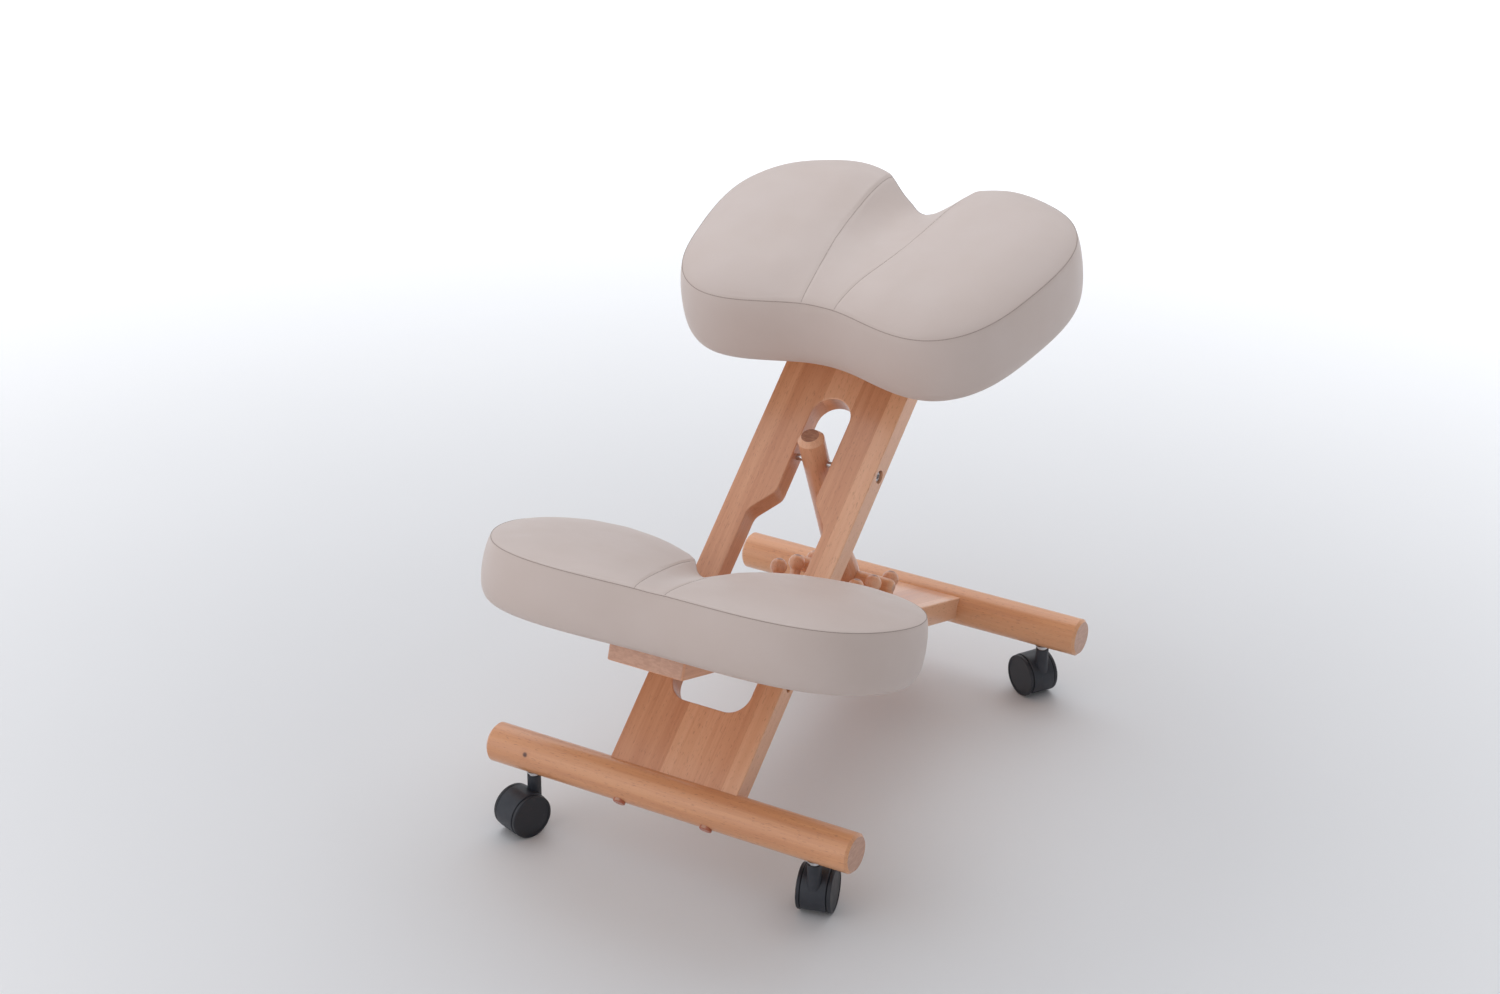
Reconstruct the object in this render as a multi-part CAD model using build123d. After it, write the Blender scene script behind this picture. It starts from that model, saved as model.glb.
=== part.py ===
from build123d import *
import math
import os

# Kneeling chair: a seat frame and a knee frame cross like a pair of scissors on one pivot rod.
# Working frame: X along the crossbars, Y from the front bar to the rear bar, Z up from the floor.

# ---- driving dimensions, in millimetres and degrees ----
BAR_LENGTH = 450.0
BAR_RADIUS = 22.0
BAR_SPACING = 546.0
BAR_HEIGHT = 92.4
BAR_CHAMFER = 3.0

BOARD = 26.0
EDGE_ROUND = 1.5
SEAT_ARM_ANGLE = 41.14
SEAT_ARM_WIDTH = 158.0
OPENING_HALF = 48.0
OPENING_START = 101.5
OPENING_END = 330.0
SLOT_HALF = 24.3
SLOT_START = 358.0
SLOT_END = 481.0
SPARE_HOLE_AT = 149.0
SPARE_HOLE_RADIUS = 4.0

KNEE_ARM_ANGLE = 17.58
TAIL_HALF = 72.5
TONGUE_HALF = 46.0
TAIL_END = 335.0
TONGUE_START = 362.0
TONGUE_END = 620.0

PIVOT_RADIUS = 4.0
STRUT_ROD_RADIUS = 3.5
STRUT_ROD_AT = 408.5
RECESS_RADIUS = 7.5
RECESS_DEPTH = 7.0
HEAD_RADIUS = 6.2
HEAD_HEIGHT = 4.5

PEG_PITCH = 43.6
PEG_FIRST = 172.5
PEG_COUNT = 3
PEG_SIDE = 49.6
PEG_BALL_RADIUS = 9.6
PEG_NECK_RADIUS = 6.0
PEG_BALL_HEIGHT = 47.4

STRUT_RADIUS = 15.0
STRUT_FOOT_RADIUS = 18.5
STRUT_ABOVE_ROD = 40.0
FOOT_AT = 191.5
FOOT_HEIGHT = 42.6
CROSS_RADIUS = 9.0
CROSS_LENGTH = 130.0

SEAT_PITCH = 11.8
SEAT_TOP_Y = 330.0
SEAT_TOP_Z = 551.6
SEAT_THICK = 80.0
KNEE_PITCH = 15.2
KNEE_YAW = 4.2
KNEE_TOP_Y = 20.0
KNEE_TOP_Z = 339.8
BASE_THICK = 12.0
BASE_INSET = 14.0
TOP_ROUND = 7.0
BOTTOM_ROUND = 9.0

BAR_BOLT_RADIUS = 3.0
BAR_BOLT_REACH = 66.0
FRONT_BOLT_SIDE = 54.0
REAR_BOLT_SIDE = 45.0
NUT_AT = 58.0
NUT_RADIUS = 5.0
CAP_RADIUS = 7.0
SCREW_RADIUS = 2.3

CASTER_SIDE = 176.0
WHEEL_RADIUS = 25.0
WHEEL_FACE = 19.0
WHEEL_RIM = 4.5
HOOD_RADIUS = 25.6
HOOD_HALF = 14.0
TRAIL = 17.0
STEM_RADIUS = 4.0
SOCKET_RADIUS = 5.5
SOCKET_DEPTH = 34.0
CASTERS = {
    "fl": (-CASTER_SIDE, 0.0, 250.0),
    "fr": (CASTER_SIDE, 0.0, 105.0),
    "rl": (-CASTER_SIDE, BAR_SPACING, 120.0),
    "rr": (CASTER_SIDE, BAR_SPACING, 150.0),
}

FIT = 0.05
TOUCH = 0.05
GAP = 0.3

# Half outlines of the two pads, front centre to rear centre, mirrored about X = 0.
SEAT_OUTLINE = [
    (0, -29), (50, -38), (100, -50), (138, -47), (170, -26), (194, 15), (207, 70),
    (214, 130), (208, 182), (180, 226), (135, 251), (90, 259), (48, 244), (0, 228),
]
KNEE_OUTLINE = [
    (0, -72), (55, -74), (110, -74), (158, -65), (196, -44), (224, -8), (239, 34),
    (241, 76), (226, 116), (192, 147), (142, 158), (88, 142), (46, 112), (20, 76), (0, 60),
]


# ---- places worked out from the dimensions ----
def unit(angle):
    a = math.radians(angle)
    return math.cos(a), math.sin(a)


SEAT_COS, SEAT_SIN = unit(SEAT_ARM_ANGLE)
KNEE_COS, KNEE_SIN = unit(KNEE_ARM_ANGLE)

# Mid-planes of the two arms. Local Y runs up the seat arm; on the knee arm it runs down to the rear bar.
SEAT_ARM = Plane(origin=(0, 0, BAR_HEIGHT), x_dir=(1, 0, 0), z_dir=(0, -SEAT_SIN, SEAT_COS))
KNEE_ARM = Plane(origin=(0, BAR_SPACING, BAR_HEIGHT), x_dir=(1, 0, 0), z_dir=(0, KNEE_SIN, KNEE_COS))


def on_plane(plane, x, along, up):
    return plane.from_local_coords(Vector(x, along, up))


PIVOT_Y = BAR_SPACING * KNEE_SIN / KNEE_COS / (KNEE_SIN / KNEE_COS + SEAT_SIN / SEAT_COS)
PIVOT_AT = PIVOT_Y / SEAT_COS
PIVOT = on_plane(SEAT_ARM, 0, PIVOT_AT, 0)
STRUT_ROD = on_plane(SEAT_ARM, 0, STRUT_ROD_AT, 0)
FOOT = on_plane(KNEE_ARM, 0, -FOOT_AT, FOOT_HEIGHT)
STRUT_DIR = (FOOT - STRUT_ROD).normalized()
STRUT_REACH = (FOOT - STRUT_ROD).length
STRUT = Plane(origin=STRUT_ROD, x_dir=(1, 0, 0), z_dir=STRUT_DIR)

PITCH_COS, PITCH_SIN = unit(SEAT_PITCH)
SEAT_PAD = Plane(
    origin=(0, SEAT_TOP_Y, SEAT_TOP_Z), x_dir=(1, 0, 0), z_dir=(0, -PITCH_SIN, PITCH_COS)
)
SLOPE_COS, SLOPE_SIN = unit(KNEE_PITCH)
KNEE_TOP = Plane(
    origin=(0, KNEE_TOP_Y, KNEE_TOP_Z), x_dir=(1, 0, 0), z_dir=(0, SLOPE_SIN, SLOPE_COS)
)
KNEE_LOCAL = KNEE_ARM.to_local_coords(Vector(0, KNEE_TOP_Y, KNEE_TOP_Z))
KNEE_PAD = KNEE_ARM * Pos(0, KNEE_LOCAL.Y, BOARD / 2) * Rot(0, 0, KNEE_YAW)


# ---- helpers ----
def rod_x(centre, radius, length):
    """A rod along X about a centre point."""
    return Pos(centre.X, centre.Y, centre.Z) * Rot(0, 90, 0) * Cylinder(radius, length)


def two_sides(shape):
    """The shape and its mirror image about X = 0."""
    return [shape, shape.mirror(Plane.YZ)]


def upright(plane, x, along, low, high, radius):
    """A cylinder standing normal to a plane, between two heights."""
    return plane * Pos(x, along, (low + high) / 2) * Cylinder(radius, high - low)


def lengthwise(plane, x, start, end, radius):
    """A cylinder lying in a plane's local Y direction."""
    return plane * Pos(x, (start + end) / 2, 0) * Rot(90, 0, 0) * Cylinder(radius, abs(end - start))


def group(solids):
    return Compound(children=list(solids))


def round_corners(sketch, points, radius):
    picked = [
        v
        for v in sketch.vertices()
        if any(math.hypot(v.X - x, v.Y - y) < 0.5 for x, y in points)
    ]
    return fillet(picked, radius)


def mirrored_pairs(points):
    return [(s * x, y) for x, y in points for s in (-1, 1)]


def slab(sketch, plane, thickness):
    board = extrude(sketch, thickness / 2, both=True)
    board = fillet(board.edges().group_by(Axis.Z)[0] + board.edges().group_by(Axis.Z)[-1], EDGE_ROUND)
    return plane * board


def bar_blank(y):
    bar = Rot(0, 90, 0) * Cylinder(BAR_RADIUS, BAR_LENGTH)
    bar = chamfer(bar.edges().filter_by(GeomType.CIRCLE), BAR_CHAMFER)
    return Pos(0, y, BAR_HEIGHT) * bar


def caster_holes(bar, y):
    for side in (-1, 1):
        low = BAR_HEIGHT - BAR_RADIUS - 1
        hole = Pos(side * CASTER_SIDE, y, low + (SOCKET_DEPTH + 2) / 2)
        bar -= hole * Cylinder(SOCKET_RADIUS + TOUCH, SOCKET_DEPTH + 2)
    return bar


def bolt_holes(shape, plane, side, way):
    """Bolt clearance, cap pocket and barrel nut pocket on both sides of the centre line."""
    for x in (-side, side):
        shape -= lengthwise(plane, x, -way * BAR_RADIUS, way * (BAR_BOLT_REACH + 2), BAR_BOLT_RADIUS + 0.1)
        shape -= lengthwise(plane, x, -way * (BAR_RADIUS + 2), -way * 13, CAP_RADIUS + TOUCH)
        shape -= upright(plane, x, way * NUT_AT, -BOARD / 2 - 1, 8, NUT_RADIUS + TOUCH)
    return shape


def side_holes(board, at, radius, recess):
    centre = on_plane(SEAT_ARM, 0, at, 0)
    board -= rod_x(centre, radius, SEAT_ARM_WIDTH + 4)
    if recess:
        for side in (-1, 1):
            mouth = centre + Vector(side * SEAT_ARM_WIDTH / 2, 0, 0)
            board -= rod_x(mouth, RECESS_RADIUS, 2 * RECESS_DEPTH)
    return board


def rod_heads(at):
    centre = on_plane(SEAT_ARM, 0, at, 0)
    offset = SEAT_ARM_WIDTH / 2 - RECESS_DEPTH + HEAD_HEIGHT / 2 + 0.1
    head = rod_x(centre + Vector(offset, 0, 0), HEAD_RADIUS, HEAD_HEIGHT)
    head = fillet(head.edges().group_by(Axis.X)[-1], 1.2)
    tip = centre + Vector(offset + HEAD_HEIGHT / 2, 0, 0)
    socket = Pos(tip.X - 1, tip.Y, tip.Z) * Rot(0, 90, 0) * extrude(RegularPolygon(2.9, 6), 3)
    return group(two_sides(head - socket))


def inset_points(half, inset):
    """The half outline moved inwards, square to the line between each point's neighbours."""
    line = [(-half[1][0], half[1][1])] + half + [(-half[-2][0], half[-2][1])]
    moved = []
    for before, point, after in zip(line, line[1:], line[2:]):
        dx, dy = after[0] - before[0], after[1] - before[1]
        length = math.hypot(dx, dy)
        moved.append((point[0] - inset * dy / length, point[1] + inset * dx / length))
    return moved


def pad_outline(half, inset=0.0):
    right = Spline(*inset_points(half, inset), tangents=((1, 0), (-1, 0)))
    return Sketch() + Face(Wire([right, right.mirror(Plane.YZ)]))


# ---- seat frame ----
def front_crossbar():
    bar = caster_holes(bar_blank(0), 0)
    return bolt_holes(bar, SEAT_ARM, FRONT_BOLT_SIDE, 1)


def seat_screw_places():
    """Screws that hold the seat base to the wedge block and the arm's bevelled end."""
    return [(x, BEVEL_FRONT - back) for x in (-38, 38) for back in (14, 40)]


def seat_arm():
    half = SEAT_ARM_WIDTH / 2
    blank = Polygon((-half, 5), (half, 5), (half, 660), (-half, 660), align=None)
    shoulder = [(OPENING_HALF, OPENING_END)]
    throat = [(SLOT_HALF, SLOT_START)]
    floor_corner = [(OPENING_HALF, OPENING_START)]
    right = floor_corner + shoulder + throat + [(SLOT_HALF, SLOT_END - SLOT_HALF)]
    opening = Polygon(*(right + [(-x, y) for x, y in reversed(right)]), align=None)
    opening = round_corners(opening, mirrored_pairs(floor_corner), 24)
    opening = round_corners(opening, mirrored_pairs(shoulder), 16)
    opening = round_corners(opening, mirrored_pairs(throat), 16)
    opening += Pos(0, SLOT_END - SLOT_HALF) * Circle(SLOT_HALF)
    board = slab(blank - opening, SEAT_ARM, BOARD)
    board -= Pos(0, 0, BAR_HEIGHT) * Rot(0, 90, 0) * Cylinder(BAR_RADIUS + TOUCH, BAR_LENGTH)
    board -= SEAT_PAD * Pos(0, 100, -SEAT_THICK + 100) * Box(300, 400, 200)
    board = bolt_holes(board, SEAT_ARM, FRONT_BOLT_SIDE, 1)
    board = side_holes(board, PIVOT_AT, PIVOT_RADIUS + FIT, True)
    board = side_holes(board, STRUT_ROD_AT, STRUT_ROD_RADIUS + TOUCH, True)
    board = side_holes(board, SPARE_HOLE_AT, SPARE_HOLE_RADIUS, False)
    for x, along in seat_screw_places():
        board -= upright(SEAT_PAD, x, along, -SEAT_THICK - 22, 0, SCREW_RADIUS + TOUCH)
    return board


def bevel_front():
    """Where the arm's top face meets the underside of the seat base, in pad coordinates."""
    start = SEAT_PAD.to_local_coords(on_plane(SEAT_ARM, 0, 0, BOARD / 2))
    ahead = SEAT_PAD.to_local_coords(on_plane(SEAT_ARM, 0, 100, BOARD / 2))
    share = (-SEAT_THICK - start.Z) / (ahead.Z - start.Z)
    return start.Y + share * (ahead.Y - start.Y)


BEVEL_FRONT = bevel_front()


def seat_wedge_block():
    length = 60.0
    drop = length * math.tan(math.radians(SEAT_ARM_ANGLE - SEAT_PITCH))
    side = Polygon((0, 0), (-length, 0), (-length, -drop), align=None)
    profile = Plane(
        origin=on_plane(SEAT_PAD, -60, BEVEL_FRONT, -SEAT_THICK),
        x_dir=(0, PITCH_COS, PITCH_SIN),
        z_dir=(1, 0, 0),
    )
    block = extrude(profile * side, 120)
    for x, along in seat_screw_places():
        block -= upright(SEAT_PAD, x, along, -SEAT_THICK - 40, 0, SCREW_RADIUS + TOUCH)
    return block


def strut_rod():
    return rod_x(STRUT_ROD, STRUT_ROD_RADIUS, SEAT_ARM_WIDTH - 2 * RECESS_DEPTH)


def bar_bolts(plane, side, way):
    bolts = []
    for x in (-side, side):
        shank = lengthwise(plane, x, -way * 13, way * BAR_BOLT_REACH, BAR_BOLT_RADIUS)
        head = lengthwise(plane, x, -way * 16.5, -way * 13, 5.5)
        bolts.append(shank + head)
    return group(bolts)


def bar_nuts(plane, side, way):
    nuts = []
    for x in (-side, side):
        nut = upright(plane, x, way * NUT_AT, -8, 8, NUT_RADIUS)
        nut -= lengthwise(plane, x, way * (NUT_AT - 8), way * (NUT_AT + 12), BAR_BOLT_RADIUS + TOUCH)
        nuts.append(nut)
    return group(nuts)


def bar_caps(plane, side, way):
    """Domed wooden plugs over the bolt heads."""
    caps = []
    for x in (-side, side):
        plug = lengthwise(plane, x, -way * (BAR_RADIUS + 3), -way * 17, CAP_RADIUS)
        dome = plane * Pos(x, -way * 14.5, 0) * Sphere(12.0)
        caps.append(plug & dome)
    return group(caps)


def seat_base_board():
    plane = SEAT_PAD * Pos(0, 0, -SEAT_THICK)
    board = plane * extrude(pad_outline(SEAT_OUTLINE, BASE_INSET), BASE_THICK)
    for x, along in seat_screw_places():
        board -= upright(SEAT_PAD, x, along, -SEAT_THICK - 1, -SEAT_THICK + 14, SCREW_RADIUS + TOUCH)
    return board


def seat_screws():
    screws = []
    for x, along in seat_screw_places():
        top = -SEAT_THICK + BASE_THICK - 3.2
        screws.append(upright(SEAT_PAD, x, along, -SEAT_THICK - 20, top, SCREW_RADIUS))
    return group(screws)


def seat_cushion():
    body = extrude(pad_outline(SEAT_OUTLINE), SEAT_THICK - GAP)
    body = fillet(body.edges().group_by(Axis.Z)[-1], TOP_ROUND)
    body = fillet(body.edges().group_by(Axis.Z)[0], BOTTOM_ROUND)
    body -= extrude(pad_outline(SEAT_OUTLINE, BASE_INSET - GAP), BASE_THICK + GAP)
    channel = Pos(0, 130, SEAT_THICK + 20) * Rot(-96.5, 0, 0) * Cone(1, 64, 340)
    return SEAT_PAD * Pos(0, 0, -SEAT_THICK + GAP) * (body - channel)


# ---- knee frame ----
def rear_crossbar():
    bar = caster_holes(bar_blank(BAR_SPACING), BAR_SPACING)
    return bolt_holes(bar, KNEE_ARM, REAR_BOLT_SIDE, -1)


def knee_screw_places():
    middle = KNEE_LOCAL.Y
    return [(x, middle + along) for x in (-30, 30) for along in (-24, 50)]


def peg_places():
    return [PEG_FIRST + i * PEG_PITCH for i in range(PEG_COUNT)]


def knee_arm():
    tail = [(TAIL_HALF, -5), (TAIL_HALF, -TAIL_END)]
    right = tail + [(TONGUE_HALF, -TONGUE_START), (TONGUE_HALF, -TONGUE_END)]
    outline = Polygon(*(right + [(-x, y) for x, y in reversed(right)]), align=None)
    outline = round_corners(outline, mirrored_pairs([(TAIL_HALF, -TAIL_END)]), 14)
    outline = round_corners(outline, mirrored_pairs([(TONGUE_HALF, -TONGUE_START)]), 14)
    outline = round_corners(outline, mirrored_pairs([(TONGUE_HALF, -TONGUE_END)]), 3)
    board = slab(outline, KNEE_ARM, BOARD)
    bar = Rot(0, 90, 0) * Cylinder(BAR_RADIUS + TOUCH, BAR_LENGTH)
    board -= Pos(0, BAR_SPACING, BAR_HEIGHT) * bar
    board = bolt_holes(board, KNEE_ARM, REAR_BOLT_SIDE, -1)
    board -= rod_x(PIVOT, PIVOT_RADIUS + TOUCH, SEAT_ARM_WIDTH)
    for at in peg_places():
        for x in (-PEG_SIDE, PEG_SIDE):
            board -= upright(KNEE_ARM, x, -at, 0, 20, PEG_NECK_RADIUS + TOUCH)
    for x, along in knee_screw_places():
        board -= upright(KNEE_ARM, x, along, -20, 20, SCREW_RADIUS + TOUCH)
    return board


def pivot_rod():
    return rod_x(PIVOT, PIVOT_RADIUS, SEAT_ARM_WIDTH - 2 * RECESS_DEPTH)


def pivot_washers():
    place = PIVOT + Vector((OPENING_HALF + TONGUE_HALF) / 2, 0, 0)
    width = OPENING_HALF - TONGUE_HALF - 0.3
    washer = rod_x(place, 10, width) - rod_x(place, PIVOT_RADIUS + TOUCH, 10)
    return group(two_sides(washer))


def rack_pegs(x):
    pegs = []
    for at in peg_places():
        neck = upright(KNEE_ARM, x, -at, TOUCH, PEG_BALL_HEIGHT, PEG_NECK_RADIUS)
        ball = KNEE_ARM * Pos(x, -at, PEG_BALL_HEIGHT) * Sphere(PEG_BALL_RADIUS)
        pegs.append(neck + ball)
    return group(pegs)


def knee_base_board():
    board = KNEE_PAD * extrude(pad_outline(KNEE_OUTLINE, BASE_INSET), BASE_THICK)
    for x, along in knee_screw_places():
        board -= upright(KNEE_ARM, x, along, 0, 22, SCREW_RADIUS + TOUCH)
    return board


def knee_screws():
    screws = []
    for x, along in knee_screw_places():
        shank = upright(KNEE_ARM, x, along, -BOARD / 2, 21.5, SCREW_RADIUS)
        head = upright(KNEE_ARM, x, along, -BOARD / 2 - 2.5, -BOARD / 2, 5)
        screws.append(shank + head)
    return group(screws)


def knee_cushion():
    body = extrude(pad_outline(KNEE_OUTLINE), 100)
    top = KNEE_PAD.inverse() * KNEE_TOP.location * Pos(0, 0, 60) * Box(700, 700, 120)
    body -= top
    top_face = body.faces().sort_by(Axis.Z)[-1]
    body = fillet(top_face.outer_wire().edges(), TOP_ROUND)
    body = fillet(body.edges().group_by(Axis.Z)[0], BOTTOM_ROUND)
    body -= extrude(pad_outline(KNEE_OUTLINE, BASE_INSET - GAP), BASE_THICK + GAP)
    return KNEE_PAD * Pos(0, 0, GAP) * body


# ---- strut ----
def strut():
    foot_flat = on_plane(KNEE_ARM, 0, 0, BOARD / 2 + GAP)
    end = STRUT_REACH + 60
    flare = STRUT_REACH - 12
    side = Polyline(
        (0, -STRUT_ABOVE_ROD),
        (STRUT_RADIUS - 5, -STRUT_ABOVE_ROD),
        (STRUT_RADIUS, -STRUT_ABOVE_ROD + 6),
        (STRUT_RADIUS, flare - 26),
        (STRUT_FOOT_RADIUS, flare),
        (STRUT_FOOT_RADIUS, end),
        (0, end),
        (0, -STRUT_ABOVE_ROD),
    )
    half = make_face(Plane.XZ * side)
    body = STRUT * revolve(half, Axis.Z, 360)
    ground = Plane(origin=foot_flat, x_dir=(1, 0, 0), z_dir=(0, KNEE_SIN, KNEE_COS))
    body -= ground * Pos(0, -150, -100) * Box(200, 500, 200)
    body -= rod_x(STRUT_ROD, STRUT_ROD_RADIUS + FIT, 100)
    body -= rod_x(FOOT, CROSS_RADIUS + TOUCH, 100)
    return body


def strut_cross_dowel():
    dowel = rod_x(FOOT, CROSS_RADIUS, CROSS_LENGTH)
    return fillet(dowel.edges().filter_by(GeomType.CIRCLE), CROSS_RADIUS - 1.5)


# ---- casters, built with the stem on Z and the wheels trailing along +X ----
def caster_place(name):
    x, y, turn = CASTERS[name]
    return Pos(x, y, 0) * Rot(0, 0, turn)


BAR_UNDER = BAR_HEIGHT - BAR_RADIUS


def caster_socket():
    low = BAR_UNDER - 1.5
    sleeve = Pos(0, 0, low + SOCKET_DEPTH / 2) * Cylinder(SOCKET_RADIUS, SOCKET_DEPTH)
    flange = Pos(0, 0, low + 0.7) * Cylinder(8.5, 1.4)
    bore = Pos(0, 0, low + SOCKET_DEPTH / 2) * Cylinder(STEM_RADIUS + FIT, SOCKET_DEPTH + 2)
    bar = Pos(0, 0, BAR_HEIGHT) * Rot(0, 90, 0) * Cylinder(BAR_RADIUS + TOUCH, 60)
    return sleeve + (flange - bar) - bore


def caster_stem():
    top = BAR_UNDER + SOCKET_DEPTH - 6
    pin = Pos(0, 0, (52 + top) / 2) * Cylinder(STEM_RADIUS, top - 52)
    collar = Pos(0, 0, 66.5) * Cylinder(6.2, 3)
    return pin + collar


def caster_hood():
    axle = Pos(TRAIL, 0, WHEEL_RADIUS)
    drum = axle * Rot(90, 0, 0) * Cylinder(HOOD_RADIUS, 2 * HOOD_HALF)
    drum = fillet(drum.edges().filter_by(GeomType.CIRCLE), 1.2)
    cavity = axle * Rot(90, 0, 0) * Cylinder(HOOD_RADIUS - 2.2, 2 * HOOD_HALF + 2)
    web = axle * Rot(90, 0, 0) * Cylinder(HOOD_RADIUS - 1, 6)
    hood = (drum - cavity) + web
    hood -= Pos(TRAIL, 0, 0) * Box(80, 60, 2 * 9.0)
    hood += Pos(0, 0, 50) * Cylinder(7.6, 30) - axle * Rot(90, 0, 0) * Cylinder(HOOD_RADIUS - 1, 60)
    hood -= Pos(0, 0, 62) * Cylinder(STEM_RADIUS + TOUCH, 20)
    hood -= axle * Rot(90, 0, 0) * Cylinder(2.5 + TOUCH, 60)
    return hood


def caster_axle():
    length = 2 * (WHEEL_FACE - 5)
    return Pos(TRAIL, 0, WHEEL_RADIUS) * Rot(90, 0, 0) * Cylinder(2.5, length)


def caster_wheel(side):
    """One dished wheel: a rim outside the hood, and a hub inside it."""
    face = Pos(0, 0, WHEEL_FACE - WHEEL_RIM / 2) * Cylinder(WHEEL_RADIUS, WHEEL_RIM)
    face = fillet(face.edges().filter_by(GeomType.CIRCLE), 1.2)
    dish = Pos(0, 0, WHEEL_FACE) * Cylinder(WHEEL_RADIUS - 3, 1.2)
    drum = Pos(0, 0, (3.5 + WHEEL_FACE - WHEEL_RIM) / 2)
    drum *= Cylinder(WHEEL_RADIUS - 3.4, WHEEL_FACE - WHEEL_RIM - 3.5 + 0.5)
    bore = Pos(0, 0, 7) * Cylinder(2.5 + FIT, 16)
    wheel = face - dish + drum - bore
    return Pos(TRAIL, 0, WHEEL_RADIUS) * Rot(-90 * side, 0, 0) * wheel


# ---- assembly ----
def assembly():
    parts = {
        "front_crossbar": front_crossbar(),
        "seat_arm": seat_arm(),
        "front_bar_bolts": bar_bolts(SEAT_ARM, FRONT_BOLT_SIDE, 1),
        "front_bar_nuts": bar_nuts(SEAT_ARM, FRONT_BOLT_SIDE, 1),
        "front_bar_caps": bar_caps(SEAT_ARM, FRONT_BOLT_SIDE, 1),
        "strut_rod": strut_rod(),
        "strut_rod_heads": rod_heads(STRUT_ROD_AT),
        "seat_wedge_block": seat_wedge_block(),
        "seat_base_board": seat_base_board(),
        "seat_screws": seat_screws(),
        "seat_cushion": seat_cushion(),
        "rear_crossbar": rear_crossbar(),
        "knee_arm": knee_arm(),
        "rear_bar_bolts": bar_bolts(KNEE_ARM, REAR_BOLT_SIDE, -1),
        "rear_bar_nuts": bar_nuts(KNEE_ARM, REAR_BOLT_SIDE, -1),
        "rear_bar_caps": bar_caps(KNEE_ARM, REAR_BOLT_SIDE, -1),
        "pivot_rod": pivot_rod(),
        "pivot_rod_heads": rod_heads(PIVOT_AT),
        "pivot_washers": pivot_washers(),
        "rack_pegs_left": rack_pegs(-PEG_SIDE),
        "rack_pegs_right": rack_pegs(PEG_SIDE),
        "knee_base_board": knee_base_board(),
        "knee_screws": knee_screws(),
        "knee_cushion": knee_cushion(),
        "strut": strut(),
        "strut_cross_dowel": strut_cross_dowel(),
    }
    for name in CASTERS:
        place = caster_place(name)
        x, y, turn = CASTERS[name]
        parts[f"caster_{name}_socket"] = Pos(x, y, 0) * caster_socket()
        parts[f"caster_{name}_stem"] = place * caster_stem()
        parts[f"caster_{name}_hood"] = place * caster_hood()
        parts[f"caster_{name}_axle"] = place * caster_axle()
        parts[f"caster_{name}_wheel_left"] = place * caster_wheel(1)
        parts[f"caster_{name}_wheel_right"] = place * caster_wheel(-1)
    return parts


def origin_shift(parts):
    """From the working frame to the part's own frame: middle of the box in X and Y, floor at Z = 0."""
    boxes = [shape.bounding_box() for shape in parts.values()]
    low_x, high_x = min(b.min.X for b in boxes), max(b.max.X for b in boxes)
    low_y, high_y = min(b.min.Y for b in boxes), max(b.max.Y for b in boxes)
    return Vector(-(low_x + high_x) / 2, -(low_y + high_y) / 2, -min(b.min.Z for b in boxes))


PARTS = assembly()
SHIFT = origin_shift(PARTS)

if __name__ == "__main__":
    os.makedirs("parts", exist_ok=True)
    for node, shape in PARTS.items():
        export_step(Pos(SHIFT.X, SHIFT.Y, SHIFT.Z) * shape, f"parts/{node}.step")
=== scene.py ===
import math
from dataclasses import dataclass

import bpy
import numpy as np
from mathutils import Matrix, Vector
from mathutils.bvhtree import BVHTree


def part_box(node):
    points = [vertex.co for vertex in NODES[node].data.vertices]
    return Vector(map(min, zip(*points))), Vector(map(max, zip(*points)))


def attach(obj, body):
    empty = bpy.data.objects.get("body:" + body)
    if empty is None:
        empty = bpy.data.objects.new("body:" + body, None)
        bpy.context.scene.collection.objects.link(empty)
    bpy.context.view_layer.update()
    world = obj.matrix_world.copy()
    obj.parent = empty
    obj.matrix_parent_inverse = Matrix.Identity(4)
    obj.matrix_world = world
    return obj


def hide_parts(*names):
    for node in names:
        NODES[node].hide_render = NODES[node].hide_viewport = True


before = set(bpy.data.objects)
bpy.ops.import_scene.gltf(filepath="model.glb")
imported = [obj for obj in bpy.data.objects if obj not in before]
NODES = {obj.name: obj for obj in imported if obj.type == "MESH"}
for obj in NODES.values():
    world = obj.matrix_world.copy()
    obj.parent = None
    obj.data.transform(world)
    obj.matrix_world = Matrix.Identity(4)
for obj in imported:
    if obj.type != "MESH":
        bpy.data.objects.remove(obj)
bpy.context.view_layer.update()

# ---- the chair's own measures, in metres and degrees ----
SEAT_ARM_ANGLE = 41.14
KNEE_ARM_ANGLE = 17.58
BAR_SPACING = 0.546
BOARD_HALF = 0.013
SEAT_STRIP = 0.038
KNEE_STRIP = 0.044
KNOT_PLACE = (-0.173, -0.0205, 0.008)

SEAT_PITCH = 11.8
SEAT_PLACE = (0.0, 0.330, 0.5516)
SEAT_THICK = 0.080
SEAT_TOP = (SEAT_THICK - 0.0002, 0.0, 0.0075)
KNEE_YAW = 4.2
KNEE_PITCH = 15.2
KNEE_PLACE = (0.0, 0.020, 0.3398)
KNEE_ALONG = -0.5762

# ---- the photograph's view ----
VIEW_PLACE = (1.4739, -2.5946, 1.7685)
VIEW_AZIMUTH = 30.48
VIEW_ELEVATION = 25.66
VIEW_ROLL = 0.23
VIEW_LENS = 72.52

UP = Vector((0, 0, 1))
ALONG_BARS = Vector((1, 0, 0))
ALONG_GRAIN = Vector((0, 1, 0))


def middle(node_name):
    low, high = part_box(node_name)
    return (low + high) / 2


BAR_MIDDLE = middle("front_crossbar")
HOME = Vector((BAR_MIDDLE.x, BAR_MIDDLE.y, 0))


def tilted(angle):
    """A direction in the side view, raised by an angle from the floor."""
    turn = math.radians(angle)
    return Vector((0, math.cos(turn), math.sin(turn)))


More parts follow.
